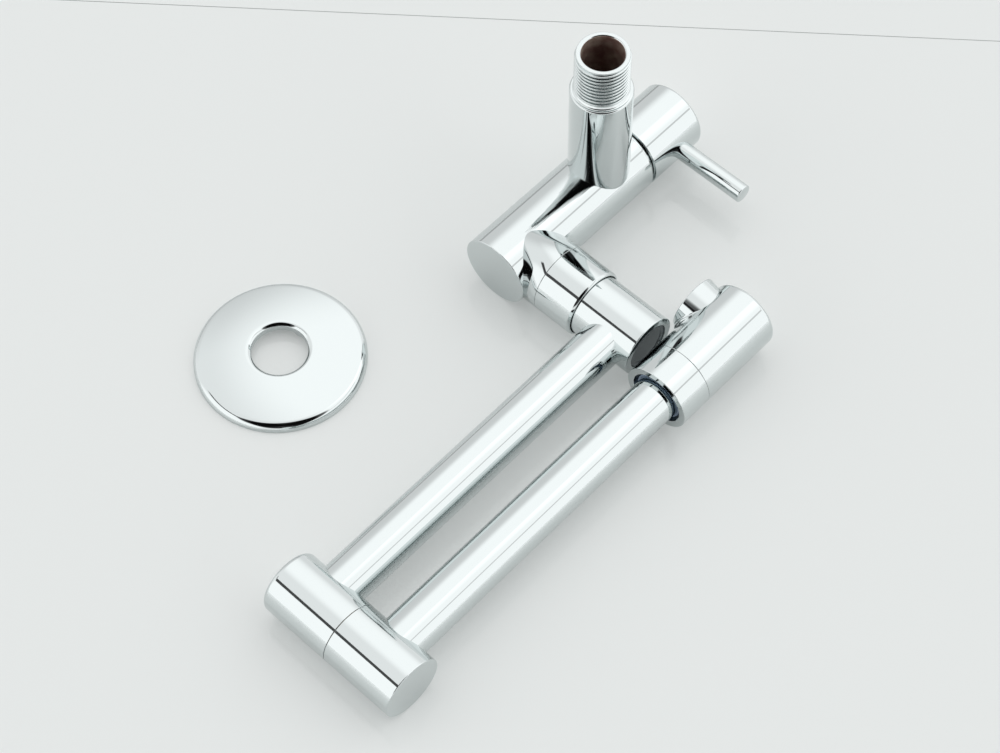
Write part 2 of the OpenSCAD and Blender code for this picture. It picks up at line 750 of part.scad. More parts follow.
// A tube along X at the height of one arm
module arm_tube(y, x0, x1) {
    translate([0, -y, 0]) difference() {
        bar_x(arm_d, x0, x1);
        bar_x(arm_in_d, x0 - 1, x1 + 1);
    }
}
module arm_1_tube() {
    color(chrome) at_arm_1() arm_tube(arm_1_y, -arm_1_len + knuckle_seat, -post_seat);
}

// Knuckle

module knuckle_a() {
    y1 = seam_y - half_gap;
    color(chrome) at_arm_1() translate([-arm_1_len, 0, 0]) difference() {
        translate([0, -y1, 0]) rotate([-90, 0, 0]) rounded(knuckle_d, y1 - top_y, knuckle_round);
        bar_y(knuckle_bore_d, bore_top, y1 + 1);
        bar_y(knuckle_bore_d + 2 * clip_groove, clip_y - clip_room, clip_y + clip_t + clip_room);
        translate([0, -arm_1_y, 0]) {
            bar_x(arm_in_d, 0, knuckle_d);
            bar_x(arm_d, knuckle_seat, knuckle_d);
        }
    }
}

module knuckle_clip() {
    color(brass) at_arm_1() translate([-arm_1_len, 0, 0]) difference() {
        bar_y(clip_out_d, clip_y, clip_y + clip_t);
        bar_y(clip_in_d, clip_y - 1, clip_y + clip_t + 1);
        translate([0, -clip_y - clip_t - 1, -clip_cut / 2]) cube([knuckle_d, clip_t + 2, clip_cut]);
    }
}

module knuckle_b() {
    y0 = seam_y + half_gap;
    color(chrome) at_arm_2() difference() {
        at_y(y0) chamfered(knuckle_d, bottom_y - y0, knuckle_edge, knuckle_edge);
        bar_y(knuckle_bore_d, y0 - 1, bore_bottom);
        translate([0, -arm_2_y, 0]) {
            bar_x(arm_in_d, 0, knuckle_d);
            bar_x(arm_d, knuckle_seat, knuckle_d);
        }
    }
}

module knuckle_spindle() {
    color(brass) at_arm_2() difference() {
        union() {
            bar_y(spindle_d, bore_top + face_gap, bore_bottom);
            bar_y(knuckle_bore_d, seam_y + half_gap, bore_bottom);
        }
        bar_y(waterway_d, bore_top, arm_2_y + arm_in_d / 2);
        translate([0, -arm_1_y, 0]) {
            bar_x(spindle_hole_d, -knuckle_d, knuckle_d);
            bar_z(spindle_hole_d, -knuckle_d, knuckle_d);
        }
        difference() {
            bar_y(spindle_d + 2, arm_1_y - spindle_waist_len / 2, arm_1_y + spindle_waist_len / 2);
            bar_y(spindle_d - 2 * spindle_waist, bore_top, bore_bottom);
        }
        for (y = [upper_ring_y, lower_ring_y]) at_y(y) shaft_groove(spindle_d, seal_groove);
        difference() {
            bar_y(spindle_d + 2, clip_y - clip_room, clip_y + clip_t + clip_room);
            bar_y(spindle_d - 2 * clip_groove, bore_top, bore_bottom);
        }
        translate([0, -arm_2_y, 0]) bar_x(spindle_hole_d, 0, knuckle_d);
    }
}

module knuckle_orings() {
    color(rubber) at_arm_2()
        for (y = [upper_ring_y, lower_ring_y]) at_y(y) shaft_ring(spindle_d, seal_groove);
}

module arm_2_tube() { color(chrome) at_arm_2() arm_tube(arm_2_y, knuckle_seat, tube_end); }

module tube_ring() {
    color(brass) at_arm_2() translate([0, -arm_2_y, 0]) difference() {
        bar_x(arm_d + 2 * tube_ring_w, tube_ring_x, tube_ring_x + tube_ring_t);
        bar_x(arm_d, tube_ring_x - 1, tube_ring_x + tube_ring_t + 1);
    }
}

// Spout, turning round the end of the second arm

module spout_nut() {
    color(chrome) at_spout() difference() {
        bar_x(spout_d, rim_x, head_x - seam);
        bar_x(rim_recess_d, rim_x - 1, rim_x + rim_recess);
        bar_x(bush_d, rim_x, bush_end + eps);
        bar_x(collar_thread_d, bush_end, head_x + 1);
    }
}

module spout_bush() {
    color(plastic) at_spout() difference() {
        bar_x(bush_d, bush_x, bush_end);
        bar_x(arm_d + 2 * run_gap, bush_x - 1, bush_end + 1);
    }
}

// The foot of the outlet flares onto the head on its open side, as far as the outlet is wide
module outlet_flare() {
    r = outlet_d / 2 + outlet_foot;
    intersection() {
        rotate_extrude()
            polygon([[0, 0], [r, 0], [r, spout_d / 2], [r - outlet_foot, spout_d / 2 + outlet_foot],
                [0, spout_d / 2 + outlet_foot]]);
        translate([-2 * r, -0.48 * outlet_d, 0]) cube([2 * r, 0.96 * outlet_d, 2 * r]);
    }
}
module spout_head() {
    color(chrome) difference() {
        union() {
            at_spout() {
                at_x(head_x) rounded(spout_d, head_len, head_round);
                bar_x(collar_thread_d, head_spigot_x, head_x + 1);
            }
            at_outlet() chamfered(outlet_d, outlet_reach, outlet_edge, outlet_edge);
            at_outlet() outlet_flare();
        }
        at_spout() {
            bar_x(head_bore_d, head_spigot_x - 1, head_room + 1);
            bar_x(spout_d - 2 * head_wall, head_room, head_end - head_wall);
            for (x = spout_ring_x)
                bar_x(head_bore_d + 2 * seal_groove, x - (seal_groove + groove_room) / 2,
                    x + (seal_groove + groove_room) / 2);
        }
        at_outlet() {
            bar_z(outlet_in_d - 2 * aerator_wall, 0, outlet_reach);
            bar_z(outlet_in_d, washer_top, outlet_reach + 1);
        }
    }
}

module spout_orings() {
    color(rubber) at_spout() for (x = spout_ring_x) at_x(x) bore_ring(head_bore_d, seal_groove);
}

module aerator_housing() {
    color(chrome) at_outlet() difference() {
        bar_z(outlet_in_d, aerator_top, aerator_end);
        bar_z(outlet_in_d - 2 * aerator_wall, aerator_top - 1, aerator_end + 1);
    }
}

module aerator_insert() {
    d = outlet_in_d - 2 * aerator_wall;
    color(plastic) at_outlet() difference() {
        bar_z(d, aerator_top, aerator_end - aerator_sink);
        bar_z(d - 2 * aerator_wall, aerator_top - 1, aerator_end - aerator_sink - aerator_face_t);
        intersection() {
            bar_z(d - 2 * aerator_wall, aerator_top, aerator_end);
            for (i = [-3:3])
                translate([(2 * i - 0.5) * aerator_slot, -d / 2, aerator_top])
                    cube([aerator_slot, d, aerator_len]);
        }
    }
}

module aerator_washer() {
    color(rubber) at_outlet() difference() {
        bar_z(outlet_in_d, washer_top, aerator_top);
        bar_z(outlet_in_d - 4 * aerator_wall, washer_top - 1, aerator_top + 1);
    }
}

// Wall flange, a domed pressing that lies on the table

// The half section inside the dome, set back by o
module flange_half(o) {
    intersection() {
        translate([0, dome_z]) circle(dome_r - o, $fn = 720);
        polygon([[0, dome_z], [0, 2 * flange_h],
            [(2 * flange_h - dome_z) * tan(dome_at), 2 * flange_h]]);
    }
    translate([round_x, flange_rim]) circle(flange_round - o, $fn = 360);
    translate([0, -flange_h]) square([flange_r - o, flange_h + flange_rim]);
}
module flange_profile() {
    intersection() {
        difference() {
            flange_half(0);
            flange_half(flange_t);
        }
        translate([eye_r, 0]) square([flange_r, flange_h]);
    }
    polygon([[eye_r, flange_h], [hole_d / 2, flange_h - flange_lip], [hole_d / 2, collar_low],
        [hole_d / 2 + flange_t, collar_low], [hole_d / 2 + flange_t, lip_low + lip_slope * flange_t],
        [eye_r + flange_t / 2, lip_low + lip_slope * (eye_r + flange_t / 2 - hole_d / 2)]]);
}

module wall_flange() {
    color(chrome) translate([-flange_x, flange_y, table_z]) rotate([0, 0, tongue_at]) {
        rotate_extrude() flange_profile();
        intersection() {
            difference() {
                bar_z(hole_d + 2 * flange_t, 0, collar_low + flange_collar / 2);
                bar_z(hole_d, -1, flange_h);
            }
            translate([0, 0, collar_low - tongue_h + tongue_w / 2]) bar_x(tongue_w, 0, flange_r);
        }
    }
}

valve_body();
inlet_shank();
neck_branch();
swivel_nut();
cartridge_body();
cartridge_nut();
cartridge_oring();
seat_seal();
fixed_disc();
handle_cap();
lever_rod();
lever_stud();
spindle();
spindle_oring();
moving_disc();
swivel_post();
post_orings();
split_ring();
slip_washer();
post_plug();
arm_1_tube();
knuckle_a();
knuckle_clip();
knuckle_b();
knuckle_spindle();
knuckle_orings();
arm_2_tube();
tube_ring();
spout_nut();
spout_bush();
spout_head();
spout_orings();
aerator_housing();
aerator_insert();
aerator_washer();
wall_flange();
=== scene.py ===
# %% [markdown]
# # A folding wall tap in polished chrome, lying on a white table
#
# The tap is almost all round: turned brass pieces and drawn tubes, polished and then plated with
# nickel and chrome. This lesson turns each piece as a maker would on a lathe, gives every edge
# the tiny rounding that polishing leaves, and lets a soft studio draw itself in the chrome.
#
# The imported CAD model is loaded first. It carries the real sizes and the moving bodies, so each
# piece here is made at the same place and rides on the same body.

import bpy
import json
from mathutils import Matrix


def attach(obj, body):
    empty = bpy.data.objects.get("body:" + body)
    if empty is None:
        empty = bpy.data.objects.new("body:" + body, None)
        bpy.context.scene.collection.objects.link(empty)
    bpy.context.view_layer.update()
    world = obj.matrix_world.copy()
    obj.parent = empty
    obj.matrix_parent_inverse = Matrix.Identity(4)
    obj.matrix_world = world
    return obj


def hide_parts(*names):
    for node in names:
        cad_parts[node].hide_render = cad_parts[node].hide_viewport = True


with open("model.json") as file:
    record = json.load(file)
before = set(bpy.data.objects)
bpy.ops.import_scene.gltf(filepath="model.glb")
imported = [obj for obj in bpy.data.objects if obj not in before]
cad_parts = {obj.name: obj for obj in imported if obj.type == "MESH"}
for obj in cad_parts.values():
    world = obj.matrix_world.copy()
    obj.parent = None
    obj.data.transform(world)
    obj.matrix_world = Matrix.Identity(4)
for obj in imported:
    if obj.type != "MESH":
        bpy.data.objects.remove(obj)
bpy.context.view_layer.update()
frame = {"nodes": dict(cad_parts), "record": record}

# %% The tools of this lesson
import json
import math
import bmesh
import bpy
from mathutils import Matrix, Vector

scene = bpy.context.scene
scene.view_settings.view_transform = "Standard"
MM = 0.001  # one millimetre in Blender's metres

# %% [markdown]
# ## Where things are
#
# The source has the same frame: the origin on the inlet's axis at the shoulder of its thread, +Z
# out of the thread, +X towards the handle, and the arms on the -Y side. Each place below is a
# matrix that carries a piece from a lathe, where it turns round Z, to its spot on the tap. Parts
# could be moved by hand into place instead, but a named place keeps all pieces of one shaft in
# line.

# %% Places on the tap, in millimetres
TABLE = -71.5
AXIS = -57.0  # height of the valve body's axis
NECK_X = -43.7  # the neck stands here on the valve body
REACH = 157.6  # the first arm's length between its two swivels
COLLAR_X = 143.2  # the spout's collar begins here on the second arm, counted from the knuckle
TILT_1 = math.asin(2 / REACH)  # the first arm dips to its smaller knuckle
TILT_2 = math.asin(1.25 / COLLAR_X)  # the spout is wider than the knuckle, and lifts the second
ARM_1_Y, ARM_2_Y = -51, -81  # how far the arms lie from the inlet
KNUCKLE = Vector((NECK_X - REACH * math.cos(TILT_1), 0, AXIS - REACH * math.sin(TILT_1)))
OUTLET_X = 183  # the outlet, counted from the knuckle
LEVER_X = 33.1  # the lever stands here on the handle's cap


def shift(x=0.0, y=0.0, z=0.0):
    return Matrix.Translation((x, y, z))


def turn(degrees, axis):
    return Matrix.Rotation(math.radians(degrees), 4, axis)


ALONG_X = turn(90, "Y")  # a piece turned round Z now lies along +X
ALONG_Y = turn(90, "X")  # and here along -Y
inlet = Matrix.Identity(4)
body = shift(z=AXIS)
neck = shift(x=NECK_X, z=AXIS)
arm_1 = neck @ Matrix.Rotation(-TILT_1, 4, "Y")
arm_2 = Matrix.Translation(KNUCKLE) @ Matrix.Rotation(-TILT_2, 4, "Y")
spout = arm_2 @ shift(y=ARM_2_Y) @ turn(6, "X")  # its outlet points 6 degrees up from the table
outlet = spout @ shift(x=OUTLET_X) @ turn(-90, "X")
flange = shift(-134.1, 38.8, TABLE)
print("knuckle axis at", [round(c, 2) for c in KNUCKLE])

# %% Radii that several pieces share, in millimetres
BODY_R = 14.5  # the valve body and the handle's cap
NECK_R = 14.0  # the neck and its sleeve nut
POST_R = 12.5  # the post and both halves of the knuckle
TUBE_R, TUBE_BORE = 9.0, 7.5  # both arms
HEAD_R = 13.75  # the spout's collar and head

# %% [markdown]
# ## Finishes
#
# Chrome has no colour pattern of its own. What tells the eye that it is real is the very low
# roughness that changes a little from place to place, where polishing and fingers have been, and
# a faint waviness that bends long reflections. So the chrome gets two noises, sized in
# millimetres, and its colour stays one plain value. Its waviness must stay tiny: a plated tube is
# straight to the eye.

# %% One function turns a hex colour to linear light
def linear(hex_colour):
    """An sRGB hex value as linear red, green, blue and alpha."""
    parts = [int(hex_colour.lstrip("#")[i : i + 2], 16) / 255 for i in (0, 2, 4)]
    lin = [c / 12.92 if c <= 0.04045 else ((c + 0.055) / 1.055) ** 2.4 for c in parts]
    return (*lin, 1.0)


# %% One function adds a node with its settings and links
NOISE_LOW, NOISE_HIGH = 0.35, 0.65  # a noise texture seldom leaves this range


def node(tree, kind, settings=None, **inputs):
    """Adds a node. settings are its own fields; an input is a value or another node's output."""
    made = tree.nodes.new(kind)
    for field, value in (settings or {}).items():
        setattr(made, field, value)
    for name, value in inputs.items():
        numbered = name.startswith("in") and name[2:].isdigit()  # in0, in1 and so on
        socket = made.inputs[int(name[2:]) if numbered else name.replace("_", " ")]
        if isinstance(value, bpy.types.NodeSocket):
            tree.links.new(value, socket)
        else:
            socket.default_value = value
    return made


def finish(name):
    """A new material with an empty shader, its tree and its Object coordinates."""
    made = bpy.data.materials.new(name)
    made.use_nodes = True
    shader = made.node_tree.nodes["Principled BSDF"]
    place = node(made.node_tree, "ShaderNodeTexCoord").outputs["Object"]
    return made, made.node_tree, shader, place


def spread(tree, value, low, high):
    """Turns the usual spread of a noise into a range of the shader's values."""
    ranged = node(tree, "ShaderNodeMapRange", Value=value, From_Min=NOISE_LOW,
                  From_Max=NOISE_HIGH, To_Min=low, To_Max=high)
    return ranged.outputs["Result"]


# %% Polished chrome plating on brass
def polished(name, colour, low, high, wave):
    """A mirror plating: cloudy polishing marks some 9 mm wide, and a waviness about 14 mm long."""
    made, tree, shader, place = finish(name)
    shader.inputs["Metallic"].default_value = 1.0
    shader.inputs["Base Color"].default_value = linear(colour)
    clouds = node(tree, "ShaderNodeTexNoise", Vector=place, Scale=110.0, Detail=3.0)
    tree.links.new(spread(tree, clouds.outputs["Fac"], low, high), shader.inputs["Roughness"])
    waves = node(tree, "ShaderNodeTexNoise", Vector=place, Scale=70.0, Detail=1.0)
    bump = node(tree, "ShaderNodeBump", Height=waves.outputs["Fac"], Strength=1.0, Distance=wave)
    tree.links.new(bump.outputs["Normal"], shader.inputs["Normal"])
    return made


chrome = polished("polished_chrome", "#D3D9D9", 0.015, 0.05, 0.00001)
thread_chrome = polished("thin_chrome_on_cut_thread", "#D3D9D9", 0.06, 0.12, 0.00002)
# the plug's plating is painted dark: its colour stands in for the shade of the table that its face
# mirrors
plug_painted_shade = polished("smoked_nickel_on_plug", "#62676A", 0.03, 0.07, 0.00001)
print("made", chrome.name, "and", thread_chrome.name)

# %% [markdown]
# Inside the tap nothing is plated. The bore of the inlet is bare cast and drilled brass, dull and
# red-brown from the plating baths, and the hidden spindles and rings are clean turned brass, which
# shows fine rings from the tool. The sealing rings are black nitrile rubber, the guide bush is
# blue-grey acetal, and the valve's discs are fired alumina.

# %% Bare brass
def bare_brass(name, light, dark, metallic, low, high, grain):
    """Unplated brass: two tones that run into each other, and a dull grain."""
    made, tree, shader, place = finish(name)
    shader.inputs["Metallic"].default_value = metallic
    tone = node(tree, "ShaderNodeTexNoise", Vector=place, Scale=240.0, Detail=4.0)
    ramp = node(tree, "ShaderNodeValToRGB", Fac=tone.outputs["Fac"])
    for stop, at, colour in zip(ramp.color_ramp.elements, (NOISE_LOW, NOISE_HIGH), (dark, light)):
        stop.position, stop.color = at, linear(colour)
    tree.links.new(ramp.outputs["Color"], shader.inputs["Base Color"])
    tree.links.new(spread(tree, tone.outputs["Fac"], low, high), shader.inputs["Roughness"])
    fine = node(tree, "ShaderNodeTexNoise", Vector=place, Scale=1600.0, Detail=2.0)
    bump = node(tree, "ShaderNodeBump", Height=fine.outputs["Fac"], Strength=1.0, Distance=grain)
    tree.links.new(bump.outputs["Normal"], shader.inputs["Normal"])
    return made


bore_brass = bare_brass("stained_brass_in_the_bore", "#A39488", "#7C5F58", 0.25, 0.50, 0.62,
                        0.00004)
turned_brass = bare_brass("turned_brass", "#C9A25E", "#AC8343", 1.0, 0.22, 0.34, 0.00001)


# %% Rubber, plastics and ceramic
def moulded(name, colour, other, low, high, ior, grain_scale, grain):
    """A moulded or fired material: a slight drift between two close colours and a fine grain."""
    made, tree, shader, place = finish(name)
    shader.inputs["IOR"].default_value = ior
    drift = node(tree, "ShaderNodeTexNoise", Vector=place, Scale=300.0, Detail=3.0)
    mix = node(tree, "ShaderNodeMix", {"data_type": "RGBA"}, Factor=drift.outputs["Fac"])
    mix.inputs[6].default_value, mix.inputs[7].default_value = linear(colour), linear(other)
    tree.links.new(mix.outputs[2], shader.inputs["Base Color"])
    tree.links.new(spread(tree, drift.outputs["Fac"], low, high), shader.inputs["Roughness"])
    fine = node(tree, "ShaderNodeTexNoise", Vector=place, Scale=grain_scale, Detail=2.0)
    bump = node(tree, "ShaderNodeBump", Height=fine.outputs["Fac"], Strength=1.0, Distance=grain)
    tree.links.new(bump.outputs["Normal"], shader.inputs["Normal"])
    return made


# name, two colours, least and most roughness, IOR, and the grain's scale and depth
nitrile = moulded("black_nitrile_rubber", "#1A1A1C", "#242427", 0.45, 0.60, 1.52, 2400.0, 0.00002)
acetal = moulded("blue_grey_acetal", "#8497AE", "#90A2B8", 0.35, 0.48, 1.48, 1800.0, 0.00001)
pale_plastic = moulded("pale_moulded_plastic", "#DADCDD", "#E3E5E6", 0.30, 0.42, 1.49, 1500.0,
                       0.00001)
alumina = moulded("fired_alumina", "#EDE9DD", "#F4F1E8", 0.12, 0.22, 1.76, 2000.0, 0.000005)
print("hidden finishes:", turned_brass.name, nitrile.name, acetal.name, alumina.name)

# %% The CAD solids that stay, inside the tap, get those finishes
hidden_finish = {"chrome": chrome, "brass": turned_brass, "rubber": nitrile,
                 "bush_plastic": acetal, "aerator_plastic": pale_plastic, "ceramic": alumina}
slots = {part["node"]: part["material_slot"] for part in frame["record"]["subparts"]}
for name, solid in frame["nodes"].items():
    solid.data.materials.clear()
    solid.data.materials.append(hidden_finish[slots[name]])

# %% [markdown]
# ## Turning
#
# A turned piece is a profile swept once round its axis. It could be a stack of cylinders, but
# then each edge would be knife sharp, and a sharp edge in chrome catches no light. So the profile
# is drawn as a wire of a few corners, each corner is rounded with a bevel of its vertex, and the
# wire is spun a full turn with its ends merged. Corners are given as (distance along the axis,
# radius, rounding). A wire that begins and ends on the axis closes there, and any other is closed
# into a loop, so every piece is a tight skin.

# %% A profile with rounded corners
STEPS = 192  # facets round a piece: under 0.002 mm off the true circle at this size


def profile(corners):
    """The wire of a half section. Each corner is (along, radius) or (along, radius, rounding)."""
    bm = bmesh.new()
    wire = [bm.verts.new((corner[1], 0.0, corner[0])) for corner in corners]
    for first, second in zip(wire, wire[1:]):
        bm.edges.new((first, second))
    if corners[0][1] > 0 or corners[-1][1] > 0:
        bm.edges.new((wire[-1], wire[0]))
    for vert, corner in zip(wire, corners):
        if len(corner) > 2:
            bmesh.ops.bevel(bm, geom=[vert], offset=corner[2], offset_type="OFFSET",
                            affect="VERTICES", segments=max(3, round(corner[2] * 5)), profile=0.5,
                            material=-1, clamp_overlap=True)
    return bm


def turned(corners, steps=STEPS):
    """A piece of the lathe, round Z."""
    bm = profile(corners)
    bmesh.ops.spin(bm, geom=bm.verts[:] + bm.edges[:], cent=(0, 0, 0), axis=(0, 0, 1),
                   dvec=(0, 0, 0), angle=math.tau, steps=steps, use_merge=True, use_duplicate=False)
    bmesh.ops.remove_doubles(bm, verts=bm.verts[:], dist=0.0005)
    bmesh.ops.recalc_face_normals(bm, faces=bm.faces[:])
    return bm


# %% A finished piece: placed in the mesh, smooth, and riding on its body
def piece(name, bm, place, body_name, stands_for, finishes=(chrome,)):
    """Bakes the place into the mesh, hides the CAD parts that it stands for, and hangs it on its
    body.
    """
    bmesh.ops.transform(bm, matrix=Matrix.Diagonal((MM, MM, MM, 1)) @ place, verts=bm.verts[:])
    mesh = bpy.data.meshes.new(name)
    bm.to_mesh(mesh)
    bm.free()
    for face in mesh.polygons:
        face.use_smooth = True
    made = bpy.data.objects.new(name, mesh)
    scene.collection.objects.link(made)
    for material in finishes:
        mesh.materials.append(material)
    # large faces keep their own normal, so the roundings shade alone and the flats stay flat
    weigh = made.modifiers.new("weighted_normals", "WEIGHTED_NORMAL")
    weigh.mode = "FACE_AREA"
    weigh.weight = 50
    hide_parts(*stands_for)
    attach(made, body_name)
    print(f"{name}: {len(mesh.polygons)} faces")


def joined(first, *others):
    """Several skins in one mesh."""
    for other in others:
        mesh = bpy.data.meshes.new("joining")
        other.to_mesh(mesh)
        other.free()
        first.from_mesh(mesh)
        bpy.data.meshes.remove(mesh)
    return first


# %% [markdown]
# ## Saddles
#
# Where one tube stands on another, as the inlet and the neck do on the valve body, its foot is cut
# to a saddle and brazed. A boolean could cut it, but the foot is only a ring of points: moved
# along the axis onto the round body, just under its skin, they make the same saddle with clean
# long faces.

# %% The foot of a tube on a round body
def saddle(bm, below, radius, height=0.0):
    """Points under a height move onto a cylinder that lies along X at another height."""
    for vert in bm.verts:
        if vert.co.z < below:
            vert.co.z = height + math.sqrt(radius ** 2 - vert.co.y ** 2)


# %% [markdown]
# ## Drilling
#
# The valve body is drilled for the inlet and for the neck, and the spout's head for its outlet.
# These holes cross a curved wall at a right angle, which no spin can give. A boolean with a turned
# drill does it, and the cut's rim is hidden in the joint, where uneven faces don't show.

# %% A hole through a wall
def drilled(bm, *drills):
    """The piece with each drill taken out of it."""
    made = []
    for bm_now in (bm, *drills):
        mesh = bpy.data.meshes.new("drilling")
        bm_now.to_mesh(mesh)
        bm_now.free()
        thing = bpy.data.objects.new("drilling", mesh)
        scene.collection.objects.link(thing)
        made.append(thing)
    for tool in made[1:]:
        cut = made[0].modifiers.new("drill", "BOOLEAN")
        cut.operation, cut.solver, cut.object = "DIFFERENCE", "EXACT", tool
    result = bmesh.new()
    result.from_object(made[0], bpy.context.evaluated_depsgraph_get())
    for thing in made:
        mesh = thing.data
        bpy.data.objects.remove(thing)
        bpy.data.meshes.remove(mesh)
    return result


def drill(radius, start, end, place):
    """A round bar in the place of the hole."""
    bm = turned([(start, 0), (start, radius), (end, radius), (end, 0)], 96)
    bmesh.ops.transform(bm, matrix=place, verts=bm.verts[:])
    return bm


# %% [markdown]
# ## The inlet
#
# The inlet is a 24 mm tube that stands up from the valve body, and its end carries the G 1/2
# thread that screws into the wall: 20.955 mm across the crests, 14 turns to the inch. A thread
# could be painted on with bump, but its crests show against the table in the photograph. So it is
# a real helix: one tooth is swept round the core and up by the pitch each turn. The first and last
# eighth of a turn fade into the core, as a cut thread runs out.

# %% The threaded inlet tube
PITCH, CREST, ROOT = 1.814, 10.4775, 9.3155  # G 1/2, in millimetres
BORE_BRASS, CUT_THREAD = 1, 2  # places in the inlet's list of finishes
tube = turned([(-44, 6.5), (-41.5, 6.5), (-41.5, 8.0, 0.3), (19.5, 8.0, 0.2), (19.95, 8.5, 0.15),
               (19.95, 9.9, 0.15), (19.3, 10.05), (18.9, ROOT), (0, ROOT), (0, 11.5, 0.25),
               (-0.5, 12.0, 0.25), (-44, 12.0)])
saddle(tube, -43.5, BODY_R - 0.9, AXIS)
for face in tube.faces:
    centre = face.calc_center_median()
    inside = math.hypot(centre.x, centre.y) < 8.3 and centre.z < 19.6
    on_thread = centre.z > -0.01 and math.hypot(centre.x, centre.y) < 9.4 and not inside
    face.material_index = BORE_BRASS if inside else CUT_THREAD if on_thread else 0
print("inlet tube from", round(min(v.co.z for v in tube.verts), 2), "to 20 mm")


# %% The helical thread
def helix(first_z, turns, steps=96):
    """One tooth swept up the core, with both ends faded into it."""
    sunk = ROOT - 0.12  # just under the core's skin
    bm = bmesh.new()
    half = PITCH / 2 + 0.05
    outline = [(ROOT - 0.1, -half), (CREST, -0.2), (CREST, 0.2), (ROOT - 0.1, half)]
    ring = [bm.verts.new((r, 0, first_z + z)) for r, z in outline]
    for a, b in zip(ring, ring[1:] + ring[:1]):
        bm.edges.new((a, b))
    for corner in (ring[1], ring[2]):
        bmesh.ops.bevel(bm, geom=[corner], offset=0.09, offset_type="OFFSET", affect="VERTICES",
                        segments=2, profile=0.5, material=-1, clamp_overlap=True)
    total = round(turns * steps)
    fade = steps // 8
    rings = [bm.verts[:]]
    last = bm.verts[:] + bm.edges[:]
    for _ in range(total):
        made = bmesh.ops.spin(bm, geom=last, cent=(0, 0, 0), axis=(0, 0, 1),
                              dvec=(0, 0, PITCH / steps), angle=math.tau / steps, steps=1,
                              use_merge=False, use_duplicate=False)
        last = made["geom_last"]
        rings.append([v for v in last if isinstance(v, bmesh.types.BMVert)])
    for number, points in enumerate(rings):
        full = min(1.0, number / fade, (total - number) / fade)
        for vert in points:
            radius = math.hypot(vert.co.x, vert.co.y)
            wanted = sunk + (radius - sunk) * full
            vert.co.x *= wanted / radius
            vert.co.y *= wanted / radius
    bmesh.ops.holes_fill(bm, edges=[e for e in bm.edges if e.is_boundary or e.is_wire], sides=0)
    bmesh.ops.recalc_face_normals(bm, faces=bm.faces[:])
    for face in bm.faces:
        face.material_index = CUT_THREAD
    return bm


FIRST_CREST, LAST_CREST = 0.98, 19.12
thread = helix(FIRST_CREST, (LAST_CREST - FIRST_CREST) / PITCH)
for vert in thread.verts:  # the small lead-in chamfer at the thread's end
    vert.co.z = min(vert.co.z, 19.85)
    limit = CREST - max(0.0, vert.co.z - 19.2) * 0.7
    radius = math.hypot(vert.co.x, vert.co.y)
    if radius > limit:
        vert.co.x *= limit / radius
        vert.co.y *= limit / radius
piece("inlet_tube", joined(tube, thread), inlet, "valve", ["inlet_shank"],
      finishes=(chrome, bore_brass, thread_chrome))

# %% [markdown]
# ## The valve body and its neck
#
# The body is one turned bar: closed at the left, open at the right for the cartridge, with a seat
# between the two chambers. The neck stands on it towards the arms and ends in a spigot, over which
# the sleeve nut screws. The seam between neck and nut is a hairline, so each of the two edges
# gets only 0.12 mm of rounding.

# %% The valve body
bar = turned([(-58, 0), (-58, BODY_R, 0.35), (15.6, BODY_R, 0.2), (15.6, 11), (10.6, 11),
              (10.6, 10), (-14, 10), (-14, 5), (-17, 5), (-17, 11), (-54, 11), (-54, 0)])
to_body = ALONG_X.inverted()
bar = drilled(bar, drill(6.5, 2, 30, to_body),
              drill(8.0, 2, 30, to_body @ shift(x=NECK_X) @ ALONG_Y))
piece("valve_body_shell", bar, body @ ALONG_X, "valve", ["valve_body"])

# %% The neck
branch = turned([(4, 8.0), (4, NECK_R), (20, NECK_R, 0.12), (20, 12.0), (28.5, 12.0, 0.3),
                 (28.5, 8.0, 0.2)])
saddle(branch, 5, BODY_R - 0.25)
piece("neck", branch, neck @ ALONG_Y, "valve", ["neck_branch"])

# %% The sleeve nut
nut = turned([(20.1, NECK_R, 0.12), (36.28, NECK_R, 0.15), (37.2, 13.34, 0.15),
              (37.2, 12.9, 0.12), (34.2, 12.9), (34.2, 9.5), (32.1, 9.5), (32.1, 12.05),
              (20.1, 12.05)])
piece("sleeve_nut", nut, neck @ ALONG_Y, "valve", ["swivel_nut"])

# %% [markdown]
# ## The handle
#
# The handle cap hides the cartridge. Between cap and body there is a 2 mm gap, in which the bright
# flange of the cartridge nut shows as a ring. The lever is a thin rod that stands out from the cap
# on the side of the arms, with a small chamfer at its tip.

# %% The cartridge nut, seen in the gap
ring = turned([(12.6, 8.0), (17.3, 8.0, 0.1), (17.3, 13.0, 0.2), (15.6, 13.0, 0.2), (15.6, 11.0),
               (12.6, 11.0)])
piece("cartridge_ring", ring, body @ ALONG_X, "valve", ["cartridge_nut"])

# %% The cap and the lever
cap = turned([(44.5, 0), (44.5, BODY_R, 1.5), (17.6, BODY_R, 0.2), (17.6, 12.0, 0.15),
              (27.6, 12.0), (27.6, 4.0), (39.1, 4.0), (39.1, 0)])
piece("handle_cap_shell", cap, body @ ALONG_X, "handle", ["handle_cap"])
rod = turned([(13.0, 0), (13.0, 3.75), (45.2, 3.75, 0.45), (45.2, 0)], 96)
piece("lever", rod, body @ shift(x=LEVER_X) @ ALONG_Y, "handle", ["lever_rod"])
